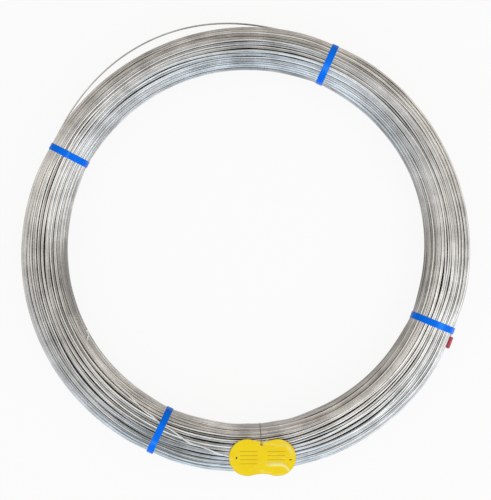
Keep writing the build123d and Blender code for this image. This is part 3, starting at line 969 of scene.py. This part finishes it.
def punched_slot(tree, x, y, slot):
    """A mask that is 1 inside the ellipse of this middle and half size."""
    middle_x, middle_y, half_x, half_y = slot
    across = compute(tree, "DIVIDE", compute(tree, "SUBTRACT", x, middle_x), half_x)
    upward = compute(tree, "DIVIDE", compute(tree, "SUBTRACT", y, middle_y), half_y)
    square = compute(tree, "MULTIPLY_ADD", across, across, compute(tree, "MULTIPLY", upward, upward))
    return compute(tree, "LESS_THAN", square, 1.0)


def tag_marks(tree, place):
    """A mask of the tag's plain ruled lines and punched slots, from the distance to its middle."""
    centred = mapped(tree, place, location=(-TAG_CENTRE[0], -TAG_CENTRE[1], 0))
    x, y, _ = add_node(tree, "ShaderNodeSeparateXYZ", {"Vector": centred}).outputs
    row = compute(tree, "PINGPONG", compute(tree, "ADD", y, RULE_OFFSET), RULE_HALF_SPACING)
    line = compute(tree, "LESS_THAN", row, RULE_HALF_WIDTH)
    level = compute(tree, "COMPARE", y, 0.0, RULED_HALF_HEIGHT)
    beside = compute(tree, "COMPARE", compute(tree, "ABSOLUTE", x), RULED_MIDDLE, RULED_HALF_LENGTH)
    ruled = compute(tree, "MULTIPLY", compute(tree, "MULTIPLY", line, level), beside)
    left, right = [punched_slot(tree, x, y, slot) for slot in (LEFT_SLOT, RIGHT_SLOT)]
    slots = compute(tree, "MAXIMUM", left, right)
    return compute(tree, "MAXIMUM", slots, compute(tree, "MULTIPLY", ruled, RULE_DARKNESS))


def tag_film():
    """Yellow laminated card: plain ruled lines and punched slots, a darker rim, and over it crumpled film
    with painted glints in slanted folds and painted glare along the creases."""
    material, tree, shader = new_material("yellow_tag")
    place = add_node(tree, "ShaderNodeTexCoord").outputs["Object"]
    wear = handled(tree, shader, place, 0.24)
    slanted = mapped(tree, place, rotation=(0, 0, 0.55), scale=(70, 190, 70))
    folds = ramp(tree, noise(tree, slanted, scale=1.0, detail=2.0), 0.60, 0.72)
    # painted glare along the creases, broken up by scuffs, and painted glints in the folds
    scuffed = compute(tree, "MULTIPLY_ADD", wear["Scuff"], 0.5, 0.6)
    crease_glare = compute(tree, "MULTIPLY", mesh_value(tree, "crease"), scuffed)
    crease_glare = compute(tree, "MAXIMUM", crease_glare, compute(tree, "MULTIPLY", folds, 0.22))
    rim = ramp(tree, mesh_value(tree, "inset"), 0.3 * MM, 1.2 * MM, at_low=0.35, at_high=0.0)
    card = blend_colours(tree, noise(tree, place, scale=45.0, detail=2.0), CARD_DEEP, CARD_PALE)
    card = blend_colours(tree, rim, card, CARD_EDGE)
    marked = blend_colours(tree, tag_marks(tree, place), card, CARD_MARK)
    tree.links.new(blend_colours(tree, crease_glare, marked, FILM_GLINT), shader.inputs["Base Color"])
    shader.inputs["Specular IOR Level"].default_value = 0.08
    shader.inputs["Coat Weight"].default_value = 0.3
    shader.inputs["Coat Roughness"].default_value = 0.12
    crumple = noise(tree, place, scale=95.0, detail=2.0, distortion=0.8)
    raised = compute(tree, "MULTIPLY_ADD", folds, 0.35, crumple)
    add_bump(tree, shader, compute(tree, "MULTIPLY_ADD", wear["Height"], 0.2, raised), 0.3, 1.2 * MM)
    return material


def cap_plastic():
    """Glossy red moulded plastic."""
    material, tree, shader = new_material("red_cap")
    place = add_node(tree, "ShaderNodeTexCoord").outputs["Object"]
    wear = handled(tree, shader, place, 0.22)
    colour = blend_colours(tree, wear["Scuff"], CAP_RED, CAP_SCUFFED)
    tree.links.new(colour, shader.inputs["Base Color"])
    shader.inputs["Coat Weight"].default_value = 0.6
    shader.inputs["Coat Roughness"].default_value = 0.1
    add_bump(tree, shader, wear["Height"], 0.1, 0.2 * MM)
    return material


wire_zinc = zinc_wire("galvanised_wire", WIRE_DULL, WIRE_BRIGHT)
tie_zinc = zinc_wire("tie_wire", TIE_DULL, TIE_BRIGHT)
deep_core = shaded_core()
blue_strap = strap_plastic()
yellow_tag = tag_film()
red_cap = cap_plastic()


# pieces on the part
def settle(piece, material, slot, *nodes):
    """Gives a piece its material, lets it ride on the part and hides the solids it stands for. Its slot is
    not used.
    """
    piece.data.materials.append(material)
    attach(piece, "root")
    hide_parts(*nodes)


for piece in (*turn_pieces, inner_turns, inner_end, tail):
    settle(piece, wire_zinc, "galvanised_wire", "wire_coil")
settle(core, deep_core, "galvanised_wire", "wire_coil")
for node, piece in strap_pieces.items():
    settle(piece, blue_strap, "strap_blue", node)
settle(tag, yellow_tag, "tag_yellow", "tag")
for piece in (tie, tie_end):
    settle(piece, tie_zinc, "tie_wire", "tag_tie")
settle(cap, red_cap, "cap_red", "end_cap")

# floor, light and camera
FLOOR_REACH, FLOOR_RIM = 24.0, 1.4
FLOOR_WHITE_SHARE = 0.91


def lay_floor():
    """A flat square floor with a low upright rim far away, pale to the light and white to the camera,
    that keeps the coil's soft shadow."""
    corners = FLOOR_REACH * np.array([(-1, -1, 0), (1, -1, 0), (1, 1, 0), (-1, 1, 0)])
    points = np.concatenate([corners, corners + np.array([0, 0, FLOOR_RIM])])
    sides = [(side + 4, (side + 1) % 4 + 4, (side + 1) % 4, side) for side in range(4)]
    mesh = bpy.data.meshes.new("floor")
    mesh.from_pydata(points.tolist(), [], [(0, 1, 2, 3), *sides])
    floor = bpy.data.objects.new("floor", mesh)
    bpy.context.scene.collection.objects.link(floor)
    material, tree, shader = new_material("pale_floor")
    shader.inputs["Base Color"].default_value = FLOOR_PALE
    shader.inputs["Roughness"].default_value = 0.9
    rays = add_node(tree, "ShaderNodeLightPath").outputs
    seen = compute(tree, "MAXIMUM", rays["Is Camera Ray"], rays["Is Transmission Ray"])
    seen = compute(tree, "MAXIMUM", seen, rays["Is Glossy Ray"])
    share = compute(tree, "MULTIPLY", seen, FLOOR_WHITE_SHARE)
    white = add_node(tree, "ShaderNodeEmission", {"Color": FLOOR_WHITE, "Strength": 1.0}).outputs[0]
    mixed = add_node(tree, "ShaderNodeMixShader", {0: share, 1: shader.outputs[0], 2: white})
    tree.links.new(mixed.outputs[0], tree.nodes["Material Output"].inputs["Surface"])
    mesh.materials.append(material)


def light_world():
    """The studio's walls and ceiling: cool towards the front, warm and dimmer towards the back, an even
    pale grey overhead."""
    world = bpy.data.worlds.new("studio")
    bpy.context.scene.world = world
    world.use_nodes = True
    tree = world.node_tree
    direction = add_node(tree, "ShaderNodeTexCoord").outputs["Generated"]
    _, y, z = add_node(tree, "ShaderNodeSeparateXYZ", {"Vector": direction}).outputs
    front = ramp(tree, y, -0.08, -0.7, interpolation="SMOOTHSTEP")
    back = ramp(tree, y, 0.0, 0.7, interpolation="SMOOTHSTEP")
    overhead = ramp(tree, z, 0.25, 0.9, interpolation="SMOOTHSTEP")
    walls = blend_colours(tree, back, SIDE_WALLS, BACK_WALL)
    walls = blend_colours(tree, front, walls, FRONT_WALL)
    room = blend_colours(tree, overhead, walls, CEILING)
    tree.links.new(room, tree.nodes["Background"].inputs["Color"])
    tree.nodes["Background"].inputs["Strength"].default_value = 1.0


def add_softbox(name, azimuth, elevation, distance, size, colour, power):
    """A rectangular soft lamp that looks at the coil from this azimuth and elevation, in degrees."""
    lamp = bpy.data.lights.new(name, "AREA")
    lamp.shape = "RECTANGLE"
    lamp.size, lamp.size_y = size
    lamp.color = colour
    lamp.energy = power
    holder = bpy.data.objects.new(name, lamp)
    a, e = np.radians(azimuth), np.radians(elevation)
    holder.location = distance * np.array([np.cos(a) * np.cos(e), np.sin(a) * np.cos(e), np.sin(e)])
    holder.rotation_euler = holder.location.to_track_quat("Z", "Y").to_euler()
    bpy.context.scene.collection.objects.link(holder)


def set_camera():
    """A camera that looks straight down on the coil, with the picture's height across its sensor."""
    camera = bpy.data.cameras.new("camera")
    camera.sensor_width = SENSOR_WIDTH
    camera.lens = SENSOR_WIDTH * CAMERA_DISTANCE / PICTURE_HEIGHT
    holder = bpy.data.objects.new("camera", camera)
    holder.location = (*PICTURE_CENTRE, MID_HEIGHT + CAMERA_DISTANCE)
    bpy.context.scene.collection.objects.link(holder)
    bpy.context.scene.camera = holder


lay_floor()
light_world()
add_softbox("right_softbox", 332, 40, 2.2, (2.4, 1.8), (0.92, 0.97, 1.0), 12)
add_softbox("front_softbox", 262, 26, 2.2, (2.2, 0.9), (0.42, 0.74, 1.0), 8)
set_camera()
bpy.context.scene.view_settings.view_transform = "Standard"

bpy.context.view_layer.update()
